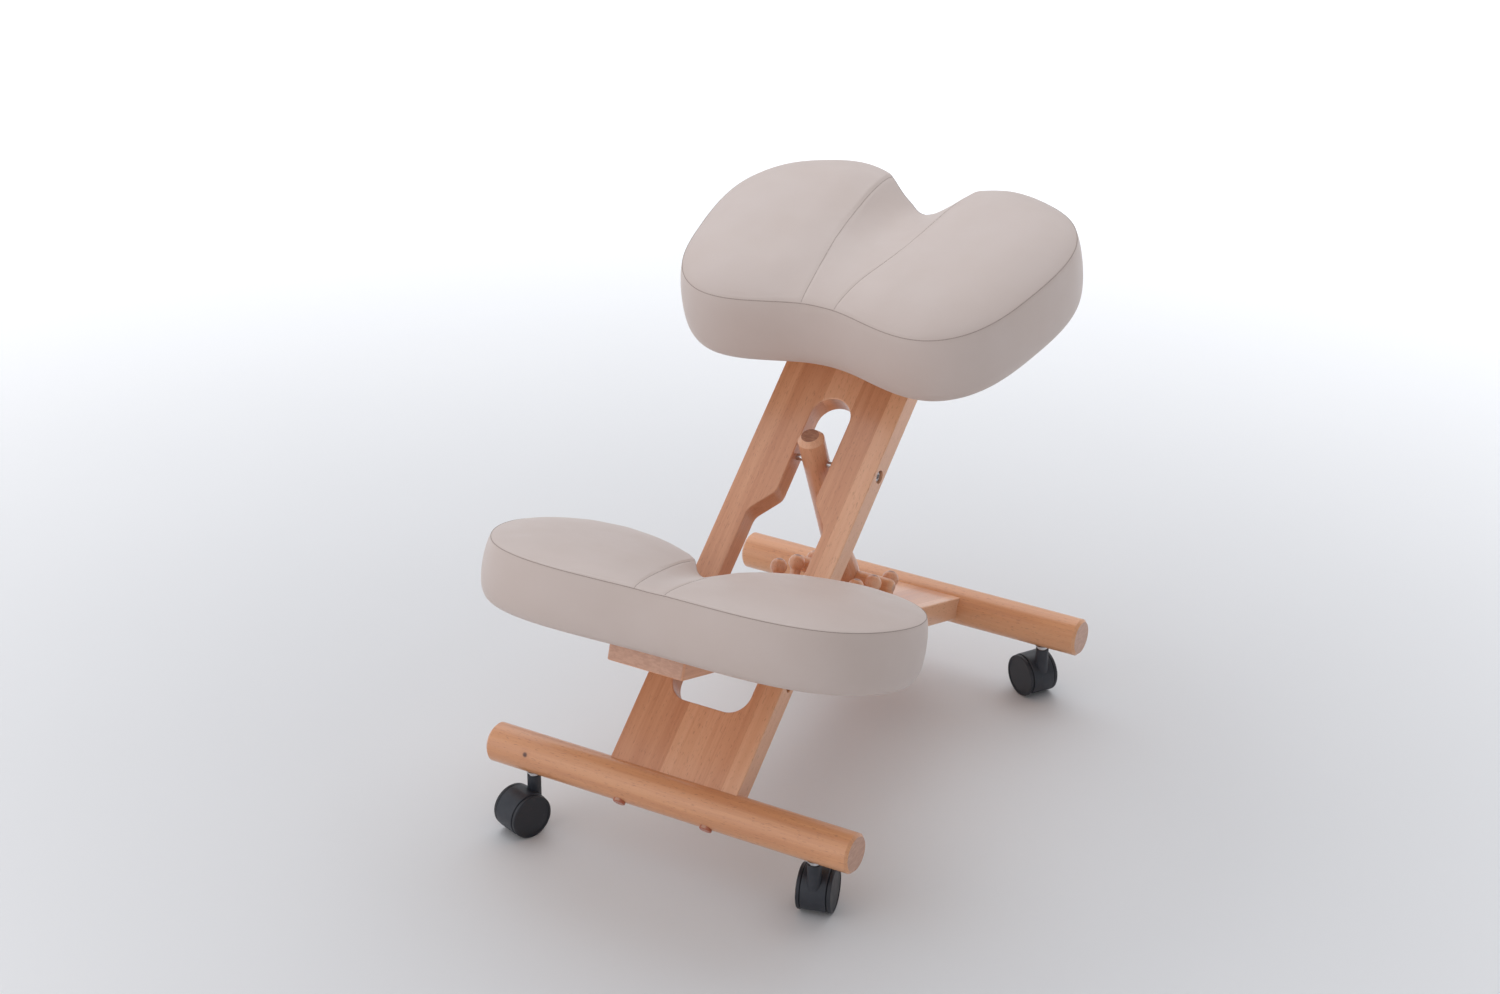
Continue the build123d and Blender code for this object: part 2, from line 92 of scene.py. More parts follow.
SEAT_NORMAL = tilted(SEAT_PITCH + 90)
KNEE_NORMAL = tilted(90 - KNEE_ARM_ANGLE)


def strut_direction():
    """The strut's line, from its rod down to its foot, as the parts lie at rest."""
    return (middle("strut_cross_dowel") - middle("strut_rod")).normalized()


# ---- small node helpers ----
def linear(red, green, blue):
    """A colour of the 0 to 255 screen scale, for a shader."""
    parts = []
    for value in (red, green, blue):
        share = value / 255
        parts.append(share / 12.92 if share <= 0.04045 else ((share + 0.055) / 1.055) ** 2.4)
    return (*parts, 1.0)


def darker(colour, share):
    """The same colour at a share of its brightness."""
    return [part * share for part in colour[:3]] + [1.0]


class Shader:
    """A new material and short calls that add its nodes; scales are in cells to the metre."""

    def __init__(self, name):
        self.material = bpy.data.materials.new(name)
        self.material.use_nodes = True
        self.tree = self.material.node_tree
        self.surface = self.tree.nodes["Principled BSDF"]
        self.place = self.add("ShaderNodeTexCoord").outputs["Object"]
        self.facing = self.place.node.outputs["Normal"]

    def add(self, kind, inputs=None, **settings):
        made = self.tree.nodes.new(kind)
        for key, value in settings.items():
            setattr(made, key, value)
        self.fill(made, inputs or {})
        return made

    def fill(self, target, inputs):
        for key, value in inputs.items():
            if isinstance(value, bpy.types.NodeSocket):
                self.tree.links.new(value, target.inputs[key])
            else:
                target.inputs[key].default_value = value

    def math(self, operation, *values):
        made = self.add("ShaderNodeMath", dict(enumerate(values)), operation=operation)
        return made.outputs[0]

    def vector(self, operation, first, second):
        made = self.add("ShaderNodeVectorMath", {0: first, 1: second}, operation=operation)
        return made.outputs["Value" if operation == "DISTANCE" else "Vector"]

    def parts(self, place):
        return self.add("ShaderNodeSeparateXYZ", {0: place}).outputs

    def scaled(self, place, scale, turn=(0, 0, 0)):
        made = self.add("ShaderNodeMapping", {"Vector": place, "Scale": scale, "Rotation": turn})
        return made.outputs["Vector"]

    def noise(self, place, detail=2.0, roughness=0.5, distortion=0.0):
        made = self.add("ShaderNodeTexNoise", {
            "Vector": place, "Scale": 1.0, "Detail": detail,
            "Roughness": roughness, "Distortion": distortion,
        })
        return made.outputs["Fac"]

    def cells(self, place, feature="F1"):
        made = self.add("ShaderNodeTexVoronoi", {"Vector": place, "Scale": 1.0}, feature=feature)
        return made.outputs["Distance"]

    def between(self, value, low, high, out_low=0.0, out_high=1.0):
        made = self.add("ShaderNodeMapRange", {
            "Value": value, "From Min": low, "From Max": high,
            "To Min": out_low, "To Max": out_high,
        })
        return made.outputs["Result"]

    def mix(self, amount, first, second):
        made = self.add("ShaderNodeMix", data_type="RGBA")
        self.fill(made, {"Factor": amount, 6: first, 7: second})
        return made.outputs[2]

    def bump(self, height, strength, distance):
        inputs = {"Height": height, "Strength": strength, "Distance": distance}
        return self.add("ShaderNodeBump", inputs).outputs["Normal"]

    def finish(self, **sockets):
        names = {key.replace("_", " "): value for key, value in sockets.items()}
        self.fill(self.surface, names)
        return self.material


# ---- wood ----
BEECH_LIGHT = linear(236, 184, 148)
BEECH_MID = linear(222, 163, 126)
BEECH_DARK = linear(200, 136, 100)
BAR_LIGHT = linear(234, 178, 134)
BAR_MID = linear(220, 157, 113)
PLUG_LIGHT = linear(196, 116, 84)
PLUG_MID = linear(176, 96, 68)
FLECK = linear(166, 108, 80)
KNOT = linear(92, 52, 38)
PALE_ENDS = (linear(188, 139, 114), linear(204, 156, 130))
# End grain for the strut and the pegs: the beech's own end-grain tone, darkened further by painted shade
# for the shade they sit in under the seat.
ENDS_DARKENED_AS_PAINTED_SHADE = (linear(142, 92, 68), linear(166, 114, 88))


def glued_boards(wood, place, strip, shift):
    """Moves the grain on from each glued board to the next; gives the new place and the board's tone."""
    across = wood.parts(place)["X"]
    number = wood.math("FLOOR", wood.math("MULTIPLY_ADD", across, 1 / strip, shift))
    tone = wood.add("ShaderNodeTexWhiteNoise", {"W": number}, noise_dimensions="1D").outputs["Value"]
    offset = wood.add("ShaderNodeCombineXYZ", {"Y": number, "Z": wood.math("MULTIPLY", number, 0.37)})
    return wood.vector("ADD", place, offset.outputs[0]), tone


def long_grain(wood, place, streak, lines, tone, mid, light):
    """The colour along the grain: broad figure, streaks, fine lines and short dark ray flecks."""
    broad = wood.noise(wood.scaled(place, (22, 1.6, 22)), 2.0, 0.5, 0.4)
    rays = wood.noise(wood.scaled(place, (900, 150, 900)), 1.0, 0.5)
    shade = wood.math("MULTIPLY_ADD", broad, 0.75, wood.math("MULTIPLY", streak, 0.55))
    shade = wood.math("MULTIPLY_ADD", lines, 0.22, shade)
    shade = wood.math("MULTIPLY_ADD", tone, 0.5, shade)
    low = wood.mix(wood.between(shade, 0.62, 1.0), BEECH_DARK, mid)
    colour = wood.mix(wood.between(shade, 0.95, 1.4), low, light)
    return wood.mix(wood.between(rays, 0.62, 0.72, 0.0, 0.42), colour, FLECK)


def with_knot(wood, colour, knot):
    """A small dark pin knot with a soft halo round it."""
    away = wood.vector("DISTANCE", wood.place, knot)
    spot = wood.between(away, 0.0035, 0.0016)
    halo = wood.between(away, 0.009, 0.0035, 0.0, 0.35)
    return wood.mix(spot, wood.mix(halo, colour, BEECH_DARK), KNOT)


def with_end_grain(wood, colour, place, turn, ends):
    """Year rings where a face is cut across the grain."""
    along = wood.parts(wood.scaled(wood.facing, (1, 1, 1), turn))["Y"]
    cut = wood.between(wood.math("ABSOLUTE", along), 0.86, 0.97)
    rings = wood.noise(wood.scaled(place, (130, 1, 420)), 2.0, 0.6, 0.5)
    return wood.mix(cut, colour, wood.mix(wood.between(rings, 0.35, 0.65), *ends))


def beech(name, grain, strip=0.0, shift=0.0, knot=None, mid=BEECH_MID, light=BEECH_LIGHT, ends=PALE_ENDS):
    """Lacquered beech with its grain along a direction; strip is the width of the glued boards."""
    wood = Shader(name)
    turn = Vector(grain).rotation_difference(ALONG_GRAIN).to_euler()
    place = wood.scaled(wood.place, (1, 1, 1), turn)
    tone = 0.5
    if strip:
        place, tone = glued_boards(wood, place, strip, shift)
    streak = wood.noise(wood.scaled(place, (170, 5, 170)), 3.0, 0.6, 0.2)
    lines = wood.noise(wood.scaled(place, (620, 9, 620)), 2.0, 0.5)
    pores = wood.cells(wood.scaled(place, (1500, 300, 1500)))
    colour = long_grain(wood, place, streak, lines, tone, mid, light)
    if knot is not None:
        colour = with_knot(wood, colour, knot)
    colour = with_end_grain(wood, colour, place, turn, ends)
    height = wood.math("MULTIPLY_ADD", lines, 0.5, wood.math("MULTIPLY", pores, 0.3))
    return wood.finish(
        Base_Color=colour, Roughness=wood.between(streak, 0.3, 0.7, 0.30, 0.40),
        Coat_Weight=0.45, Coat_Roughness=0.16, Normal=wood.bump(height, 0.12, 0.0004),
    )


def plywood(name, layers):
    """Birch plywood whose veneers lie square to a direction."""
    veneer_thick = 0.0017
    wood = Shader(name)
    turn = Vector(layers).rotation_difference(UP).to_euler()
    place = wood.scaled(wood.place, (1, 1, 1), turn)
    veneer = wood.math("PINGPONG", wood.math("MULTIPLY", wood.parts(place)["Z"], 1 / veneer_thick), 1.0)
    grain = wood.noise(wood.scaled(place, (8, 190, 190)), 3.0, 0.6, 0.3)
    face = wood.mix(wood.between(grain, 0.3, 0.7), linear(202, 170, 130), linear(224, 196, 158))
    edge = wood.mix(wood.between(veneer, 0.35, 0.65), linear(150, 108, 76), linear(206, 172, 132))
    upward = wood.parts(wood.scaled(wood.facing, (1, 1, 1), turn))["Z"]
    side = wood.between(wood.math("ABSOLUTE", upward), 0.7, 0.5)
    return wood.finish(
        Base_Color=wood.mix(side, face, edge), Roughness=wood.between(grain, 0.3, 0.7, 0.55, 0.7),
        Normal=wood.bump(grain, 0.25, 0.0005),
    )


# ---- metal, plastic and leatherette ----
def metal(name, colour, roughness):
    """Turned or drawn metal with fine tool marks across X and slight smudges."""
    steel = Shader(name)
    marks = steel.noise(steel.scaled(steel.place, (1200, 60, 60)), 1.0)
    smudge = steel.noise(steel.scaled(steel.place, (90, 90, 90)), 3.0)
    return steel.finish(
        Base_Color=steel.mix(steel.between(smudge, 0.35, 0.7), colour, darker(colour, 0.82)),
        Metallic=1.0, Roughness=steel.between(smudge, 0.3, 0.7, roughness, roughness + 0.12),
        Normal=steel.bump(marks, 0.15, 0.0001),
    )


def plastic(name, colour, worn, roughness):
    """Moulded plastic with a fine spark texture, and dust in broad soft patches."""
    body = Shader(name)
    texture = body.noise(body.scaled(body.place, (1600, 1600, 1600)), 2.0, 0.6)
    patch = body.noise(body.scaled(body.place, (60, 60, 60)), 3.0, 0.55)
    scuff = body.noise(body.scaled(body.place, (700, 120, 120)), 2.0, 0.6)
    tone = body.mix(body.between(patch, 0.45, 0.75, 0.0, 0.35), colour, worn)
    tone = body.mix(body.between(scuff, 0.66, 0.74, 0.0, 0.4), tone, worn)
    return body.finish(
        Base_Color=tone, Roughness=body.between(patch, 0.3, 0.7, roughness, roughness + 0.15),
        Normal=body.bump(texture, 0.12, 0.0002),
    )


def leatherette(name, colour, shade):
    """Smooth artificial leather: fine pebble grain, faint mottling and a soft sheen."""
    cover = Shader(name)
    pebble = cover.cells(cover.scaled(cover.place, (1050, 1050, 1050)), "SMOOTH_F1")
    pore = cover.noise(cover.scaled(cover.place, (2400, 2400, 2400)), 1.0)
    mottle = cover.noise(cover.scaled(cover.place, (14, 14, 14)), 3.0, 0.5)
    rub = cover.noise(cover.scaled(cover.place, (46, 46, 46)), 2.0, 0.5)
    grain = cover.math("MULTIPLY_ADD", pore, 0.3, pebble)
    return cover.finish(
        Base_Color=cover.mix(cover.between(mottle, 0.3, 0.7), colour, shade),
        Roughness=cover.between(rub, 0.3, 0.7, 0.44, 0.52),
        Specular_IOR_Level=0.45, Sheen_Weight=0.12, Sheen_Roughness=0.45,
        Normal=cover.bump(grain, 0.10, 0.0003),
    )


def thread(name, colour):
    """Sewing thread in a seam, lighter and darker as it twists."""
    yarn = Shader(name)
    twist = yarn.noise(yarn.scaled(yarn.place, (1800, 1800, 1800)), 1.0)
    tone = yarn.mix(yarn.between(twist, 0.35, 0.65), colour, darker(colour, 0.7))
    return yarn.finish(Base_Color=tone, Roughness=0.7, Normal=yarn.bump(twist, 0.4, 0.0003))


def node_materials():
    """The finish of each CAD node, by the start of its name; the longest start that fits wins."""
    knot = BAR_MIDDLE + Vector(KNOT_PLACE)
    bars = beech("beech_bar", ALONG_BARS, mid=BAR_MID, light=BAR_LIGHT)
    plug = beech("plug_wood", tilted(SEAT_ARM_ANGLE + 90), mid=PLUG_MID, light=PLUG_LIGHT)
    steel = metal("zinc_steel", linear(196, 197, 200), 0.24)
    chrome = metal("bright_steel", linear(214, 214, 216), 0.14)
    return {
        "front_crossbar": beech("beech_bar_with_knot", ALONG_BARS, knot=knot, mid=BAR_MID, light=BAR_LIGHT),
        "rear_crossbar": bars,
        "seat_arm": beech("beech_seat_arm", tilted(SEAT_ARM_ANGLE), SEAT_STRIP, 0.32),
        "knee_arm": beech("beech_knee_arm", tilted(-KNEE_ARM_ANGLE), KNEE_STRIP, 0.5),
        "seat_wedge_block": beech("beech_wedge", ALONG_BARS),
        # The strut's and the pegs' cut ends carry painted shade in their darker end colour.
        "strut": beech("beech_strut", strut_direction(), ends=ENDS_DARKENED_AS_PAINTED_SHADE),
        "strut_rod": chrome,
        "strut_rod_heads": steel,
        "strut_cross_dowel": bars,
        "rack_pegs": beech("beech_pegs", KNEE_NORMAL, ends=ENDS_DARKENED_AS_PAINTED_SHADE),
        "pivot_rod": chrome,
        "pivot_rod_heads": steel,
        "pivot_washers": plastic("nylon_washer", linear(226, 226, 220), linear(200, 200, 196), 0.4),
        "front_bar_bolts": steel,
        "front_bar_nuts": steel,
        "front_bar_caps": plug,
        "rear_bar_bolts": steel,
        "rear_bar_nuts": steel,
        "rear_bar_caps": plug,
        "seat_screws": steel,
        "knee_screws": steel,
        "seat_base_board": plywood("plywood_seat", SEAT_NORMAL),
        "knee_base_board": plywood("plywood_knee", KNEE_NORMAL),
        "socket": chrome,
        "stem": chrome,
        "axle": steel,
        "hood": plastic("caster_plastic", linear(44, 48, 56), linear(72, 75, 82), 0.36),
        "wheel": plastic("wheel_plastic", linear(38, 41, 48), linear(66, 69, 76), 0.40),
    }


def finish_nodes():
    """Gives every CAD node its finish; a caster's parts go by the third word of their names."""
    finishes = node_materials()
    for name, part in NODES.items():
        key = name.split("_")[2] if name.startswith("caster_") else name
        fitting = [start for start in finishes if key.startswith(start)]
        if fitting:
            part.data.materials.clear()
            part.data.materials.append(finishes[max(fitting, key=len)])


# ---- the two cushions ----
OUTLINE_STEPS = 288
TOP_RINGS = 34
SIDE_RINGS = 20
RING_SPREAD = 1.25
INNERMOST = 0.985
PROFILE_STEPS = 400
GROUPS = 40

SEAM_INSET = 0.0035
LIP_HEIGHT = 0.0028
LIP_REACH = 0.005
CROWN_REACH = 0.066
FLANK_REACH = 0.06
NOTCH_WIDTH = 0.055
DROOP = 0.004

# The side from the top seam down to the board: offsets outward, and shares of the height.
SIDE_PROFILE = [
    (0.0, 0.0), (0.0016, 0.045), (0.0032, 0.14), (0.0048, 0.32), (0.0050, 0.52),
    (0.0040, 0.70), (0.0018, 0.83), (-0.0022, 0.93), (-0.0072, 0.985), (-0.0110, 1.0),
]
# The fold round the board's edge: offsets outward, and heights. Then shares of the way to the middle.
UNDERSIDE = [(-0.0133, 0.0006), (-0.0135, 0.006), (-0.0140, 0.0125), (-0.020, 0.0128)]
UNDER_SHARES = (0.25, 0.5, 0.75, 0.96)

PRESSURE = 4.0
CLOTH_FRAMES = 20
MOST_MOVE = 0.006
RELAX_ROUNDS = 12
HELD_BELOW = 0.010
HELD_PAST_SEAM = 0.002

CREASE_WIDTH = 0.0017
CREASE_DEPTH = 0.0008
CREASE_FADE = 0.003
TOP_DEPTH = 0.036
CHANNEL_THREAD = 0.00034
EDGE_THREAD = 0.00045
THREAD_SUNK = 0.00008
THREAD_POINTS = 160
SEAM_STOP = 0.0006


@dataclass
class Pad:
    """What differs between the two cushions, in the pad's own axes.

    top holds the top plane's height at the origin and its slopes along x and y. seams and channel hold
    stations along y with the seams' distance from the middle and the channel's depth. fit says how far
    the stuffed cover stands out from the CAD outline: stretch and shift in x, stretch and fixed line in y.
    """

    name: str
    body: str
    cad: str
    axes: Matrix
    top: tuple
    centre: tuple
    seams: tuple
    channel: tuple
    crown: float
    fit: tuple
    notch: float


def seat_pad():
    place = HOME + Vector(SEAT_PLACE) - SEAT_NORMAL * SEAT_THICK
    return Pad(
        name="seat_cushion_cover",
        body="seat_frame",
        cad="seat_cushion",
        axes=pad_axes(place, SEAT_PITCH),
        top=SEAT_TOP,
        centre=(0.0, 0.108),
        seams=([-0.060, 0.013, 0.095, 0.157, 0.235], [0.0165, 0.0245, 0.0415, 0.0475, 0.0530]),
        channel=([-0.06, 0.03, 0.10, 0.17, 0.235], [0.0, 0.0005, 0.007, 0.020, 0.029]),
        crown=0.016,
        fit=(1.016, 0.0, 1.016, -0.050),
        notch=0.002,
    )


def knee_pad():
    arm = pad_axes(HOME + Vector((0, BAR_SPACING, BAR_MIDDLE.z)), -KNEE_ARM_ANGLE)
    axes = arm @ Matrix.Translation((0, KNEE_ALONG, BOARD_HALF))
    axes = axes @ Matrix.Rotation(math.radians(KNEE_YAW), 4, "Z")
    normal = axes.inverted().to_3x3() @ tilted(90 - KNEE_PITCH)
    point = axes.inverted() @ (HOME + Vector(KNEE_PLACE))
    return Pad(
        name="knee_cushion_cover",
        body="knee_frame",
        cad="knee_cushion",
        axes=axes,
        top=(point.dot(normal) / normal.z, -normal.x / normal.z, -normal.y / normal.z),
        centre=(0.0, -0.008),
        seams=([-0.08, 0.0, 0.06], [0.0165, 0.0215, 0.0275]),
        channel=([-0.08, -0.02, 0.06], [0.0, 0.0025, 0.009]),
        crown=0.008,
        fit=(1.018, 0.0025, 1.010, -0.074),
        notch=0.008,
    )


def pad_axes(place, pitch):
    """x to the right, y rearwards along the pad's underside, z square to it."""
    return Matrix.Translation(place) @ Matrix.Rotation(math.radians(pitch), 4, "X")


# ---- curves and distances in plan ----
def smooth_ring(ring, times):
    for _ in range(times):
        ring = (np.roll(ring, 1, 0) + 2 * ring + np.roll(ring, -1, 0)) / 4
    return ring


def smooth_line(line, times):
    """Evens out the points between a line's two ends."""
    for _ in range(times):
        line[1:-1] = (line[:-2] + 2 * line[1:-1] + line[2:]) / 4
    return line


def outward(ring):
    """The direction out of a ring at each of its points."""
    run = np.roll(ring, -1, 0) - np.roll(ring, 1, 0)
    normal = np.column_stack([run[:, 1], -run[:, 0]])
    return smooth_ring(normal / np.linalg.norm(normal, axis=1)[:, None], 3)


def ease(share):
    share = np.clip(share, 0, 1)
    return share * share * (3 - 2 * share)


def smooth_curve(along, stations):
    """A soft curve through (station, value) pairs."""
    fine = np.linspace(stations[0][0], stations[0][-1], 60)
    values = smooth_line(np.interp(fine, *stations), 30)
    return np.interp(along, fine, values)


def nearest(plan, line):
    """Distance from each place to the nearest point of a line."""
    found = []
    for group in np.array_split(plan, GROUPS):
        gap = group[:, None, :] - line[None, :, :]
        found.append(np.sqrt((gap ** 2).sum(2)).min(1))
    return np.concatenate(found)


# ---- a cushion's outline and heights ----
def cad_ring(pad):
    """Points round the CAD cushion at half its height."""
    inverse = pad.axes.inverted()
    mesh = NODES[pad.cad].data
    corners = [inverse @ vertex.co for vertex in mesh.vertices]
    faces = [tuple(face.vertices) for face in mesh.polygons]
    tree = BVHTree.FromPolygons(corners, faces)
    centre = Vector((*pad.centre, pad.top[0] * 0.5))
    steps = OUTLINE_STEPS * 4
    ring = []
    for step in range(steps):
        angle = 2 * math.pi * step / steps
        way = Vector((math.cos(angle), math.sin(angle), 0))
        hit = tree.ray_cast(centre + way, -way)[0]
        ring.append((hit.x, hit.y))
    return np.array(ring)


def evenly_spaced(ring):
    closed = np.vstack([ring, ring[:1]])
    run = np.concatenate([[0], np.cumsum(np.linalg.norm(np.diff(closed, axis=0), axis=1))])
    spots = np.linspace(0, run[-1], OUTLINE_STEPS, endpoint=False)
    return np.column_stack([np.interp(spots, run, closed[:, axis]) for axis in (0, 1)])


def outline(pad):
    """The stuffed cover's outline: the CAD cushion's own, let out a little, with its notch filled."""
    ring = smooth_ring(cad_ring(pad), 6)
    stretch_x, shift_x, stretch_y, fixed_y = pad.fit
    ring = ring * (stretch_x, stretch_y) + (shift_x, fixed_y * (1 - stretch_y))
    in_notch = np.clip(1 - (ring[:, 0] / NOTCH_WIDTH) ** 2, 0, 1) * (ring[:, 1] > pad.centre[1])
    ring[:, 1] += pad.notch * in_notch
    return smooth_ring(evenly_spaced(ring), 2)


def plane_top(pad, plan):
    return pad.top[0] + pad.top[1] * plan[:, 0] + pad.top[2] * plan[:, 1]


def seam_half(pad, plan):
    """How far the channel seams lie from the middle."""
    return smooth_curve(plan[:, 1], pad.seams)


def seam_distance(pad, plan):
    """Distance from the nearer channel seam."""
    return np.abs(np.abs(plan[:, 0]) - seam_half(pad, plan))


def channel_depth(pad, plan):
    """How far the sewn channel between the two seams lies below the top."""
    across = np.clip(np.abs(plan[:, 0]) / (seam_half(pad, plan) * 1.08), 0, 1)
    return smooth_curve(plan[:, 1], pad.channel) * np.cos(across * math.pi / 2) ** 1.25


def top_heights(pad, plan, inward):
    """The top panel: it rolls over its edge seam, crowns towards the middle and dips in the channel."""
    lip = LIP_HEIGHT * (1 - np.exp(-inward / LIP_REACH))
    rise = 1 - (1 - np.clip(inward / CROWN_REACH, 0, 1)) ** 2
    past_seam = np.abs(plan[:, 0]) - seam_half(pad, plan) * 0.7
    flank = 0.50 + 0.50 * ease(past_seam / FLANK_REACH)
    return plane_top(pad, plan) - channel_depth(pad, plan) + lip + pad.crown * rise * flank


# ---- a cushion's rings, from the middle of the top round to the middle of the underside ----
def top_rings(pad, seam):
    centre = np.array(pad.centre)
    rings = []
    for share in np.linspace(1, 0, TOP_RINGS) ** RING_SPREAD:
        plan = seam + (centre - seam) * share * INNERMOST
        rings.append(np.column_stack([plan, top_heights(pad, plan, nearest(plan, seam))]))
    return rings


def side_profile():
    """The side profile drawn finely, softened, and read at each ring."""
    points = np.array(SIDE_PROFILE)
    run = np.linspace(0, len(points) - 1, PROFILE_STEPS)
    fine = np.column_stack([np.interp(run, range(len(points)), points[:, axis]) for axis in (0, 1)])
    fine = smooth_line(fine, PROFILE_STEPS)
    return fine[np.linspace(0, PROFILE_STEPS - 1, SIDE_RINGS).astype(int)]


def side_rings(seam, normal, rim):
    rings = []
    for offset, drop in side_profile()[1:]:
        rings.append(np.column_stack([seam + normal * offset, rim + (-DROOP - rim) * drop]))
    return rings


def level_ring(plan, height):
    return np.column_stack([plan, np.full(len(plan), height)])


def under_rings(pad, edge, normal):
    rings = [level_ring(edge + normal * offset, height) for offset, height in UNDERSIDE]
    offset, height = UNDERSIDE[-1]
    inner = edge + normal * offset
    for share in UNDER_SHARES:
        rings.append(level_ring(inner + (np.array(pad.centre) - inner) * share, height))
    return rings


def pad_rings(pad, edge):
    """All rings of a cover, with the edge seam at ring TOP_RINGS - 1."""
    normal = outward(edge)
    seam = edge - normal * SEAM_INSET
    top = top_rings(pad, seam)
    return np.array(top + side_rings(seam, normal, top[-1][:, 2]) + under_rings(pad, edge, normal))


def halve(rows):
    """Adds a point halfway between neighbouring rows, on the smooth curve through four of them."""
    before = np.concatenate([rows[:1], rows[:-2]])
    after = np.concatenate([rows[2:], rows[-1:]])
    fine = np.empty((len(rows) * 2 - 1, *rows.shape[1:]))
    fine[0::2] = rows
    fine[1::2] = (9 * (rows[:-1] + rows[1:]) - before - after) / 16
    return fine


def halve_round(rows):
    """The same for rows that close into a loop."""
    wrapped = np.concatenate([rows[-2:], rows, rows[:3]])
    return halve(wrapped)[4:4 + 2 * len(rows)]


def refine(rings):
    """Twice as many rings and twice as many points in each; the edge seam stays a crease."""
    rim = TOP_RINGS - 1
    tall = np.concatenate([halve(rings[:rim + 1]), halve(rings[rim:])[1:]])
    return np.swapaxes(halve_round(np.swapaxes(tall, 0, 1)), 0, 1)


# ---- meshes ----
def ring_faces(rings, count):
    faces = []
    for ring in range(rings - 1):
        this = ring * count
        after = this + count
        for step in range(count):
            other = (step + 1) % count
            faces.append((this + step, this + other, after + other, after + step))
    return faces


def ring_mesh(name, rings):
    """A closed mesh through a stack of rings, with a small cap at each end."""
    count = rings.shape[1]
    points = [tuple(point) for point in rings.reshape(-1, 3)]
    faces = ring_faces(len(rings), count)
    points += [tuple(rings[0].mean(0)), tuple(rings[-1].mean(0))]
    last = (len(rings) - 1) * count
    for step in range(count):
        other = (step + 1) % count
        faces.append((len(points) - 2, other, step))
        faces.append((len(points) - 1, last + step, last + other))
    mesh = bpy.data.meshes.new(name)
    mesh.from_pydata(points, [], [tuple(reversed(face)) for face in faces])
    mesh.update()
    return placed(name, mesh)


def placed(name, data):
    made = bpy.data.objects.new(name, data)
    bpy.context.scene.collection.objects.link(made)
    return made


def coordinates(mesh):
    flat = np.zeros(len(mesh.vertices) * 3)
    mesh.vertices.foreach_get("co", flat)
    return flat.reshape(-1, 3)


def set_coordinates(mesh, points):
    mesh.vertices.foreach_set("co", np.asarray(points, float).ravel())
    mesh.update()


def tube(name, path, radius, closed):
    """A thread laid along a path, as a mesh."""
    curve = bpy.data.curves.new(name, "CURVE")
    curve.dimensions = "3D"
    curve.bevel_depth = radius
    curve.bevel_resolution = 2
    line = curve.splines.new("POLY")
    line.points.add(len(path) - 1)
    for point, place in zip(line.points, path):
        point.co = (*place, 1)
    line.use_cyclic_u = closed
    holder = bpy.data.objects.new(name, curve)
    mesh = bpy.data.meshes.new_from_object(holder)
    bpy.data.objects.remove(holder)
    return placed(name, mesh)


# ---- blowing a cover up ----
def held_points(pad, points):
    """Where the cover is held: along the edge seam, in the channel, on the board and underneath."""
    rim = (TOP_RINGS - 1) * OUTLINE_STEPS
    held = points[:, 2] < HELD_BELOW
    held[rim:rim + OUTLINE_STEPS] = True
    upper = np.arange(len(points)) < rim + OUTLINE_STEPS
    held |= upper & (np.abs(points[:, 0]) < seam_half(pad, points) + HELD_PAST_SEAM)
    held[-2:] = True
    return held


def add_cloth(made, held):
    group = made.vertex_groups.new(name="held")
    group.add([int(index) for index in np.nonzero(held)[0]], 1.0, "REPLACE")
    cloth = made.modifiers.new("Cloth", "CLOTH")
    cloth.settings.quality = 5
    cloth.settings.mass = 0.25
    cloth.settings.tension_stiffness = 20
    cloth.settings.compression_stiffness = 20
    cloth.settings.bending_stiffness = 2.0
    cloth.settings.use_pressure = True
    cloth.settings.uniform_pressure_force = PRESSURE
    cloth.settings.effector_weights.gravity = 0
    cloth.settings.vertex_group_mass = "held"
    cloth.collision_settings.use_collision = False


def inflate(pad, rings):
    """Blows the cover up against its seams; no point moves further than MOST_MOVE."""
    made = ring_mesh("blown_cover", rings)
    start = coordinates(made.data)
    held = held_points(pad, start)
    add_cloth(made, held)
    scene = bpy.context.scene
    for number in range(1, CLOTH_FRAMES + 1):
        scene.frame_set(number)
    shaped = made.evaluated_get(bpy.context.evaluated_depsgraph_get())
    moved = coordinates(shaped.data) - start
    scene.frame_set(1)
    length = np.linalg.norm(moved, axis=1)[:, None]
    moved *= MOST_MOVE * np.tanh(length / MOST_MOVE) / np.maximum(length, 1e-9)
    moved = relax(made.data, moved, held)
    bpy.data.objects.remove(made)
    return rings + moved[:-2].reshape(rings.shape)


def relax(mesh, moved, held):
    """Evens the movement out between neighbours, so that the cover stays taut."""
    ends = np.array([edge.vertices[:] for edge in mesh.edges])
    count = np.zeros(len(moved))
    np.add.at(count, ends.ravel(), 1)
    moved[held] = 0
    for _ in range(RELAX_ROUNDS):
        total = np.zeros_like(moved)
        np.add.at(total, ends[:, 0], moved[ends[:, 1]])
        np.add.at(total, ends[:, 1], moved[ends[:, 0]])
        moved = (moved + total / count[:, None]) / 2
        moved[held] = 0
    return moved


# ---- seams, and the finished cushions ----
def press_seams(pad, made, seam):
    """Pulls the cover down into a crease along the two channel seams."""
    points = coordinates(made.data)
    plan = points[:, :2]
    on_top = points[:, 2] > plane_top(pad, plan) - TOP_DEPTH
    crease = CREASE_DEPTH * np.exp(-(seam_distance(pad, plan) / CREASE_WIDTH) ** 2)
    crease *= ease(nearest(plan, seam) / CREASE_FADE) * on_top
    points[:, 2] -= crease
    set_coordinates(made.data, points)


def settle(made, pad, finish):
    """Puts a piece made in the pad's axes into the row frame and hands it to the pad's body."""
    made.data.transform(pad.axes)
    made.data.materials.clear()
    made.data.materials.append(finish)
    for face in made.data.polygons:
        face.use_smooth = True
    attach(made, pad.body)


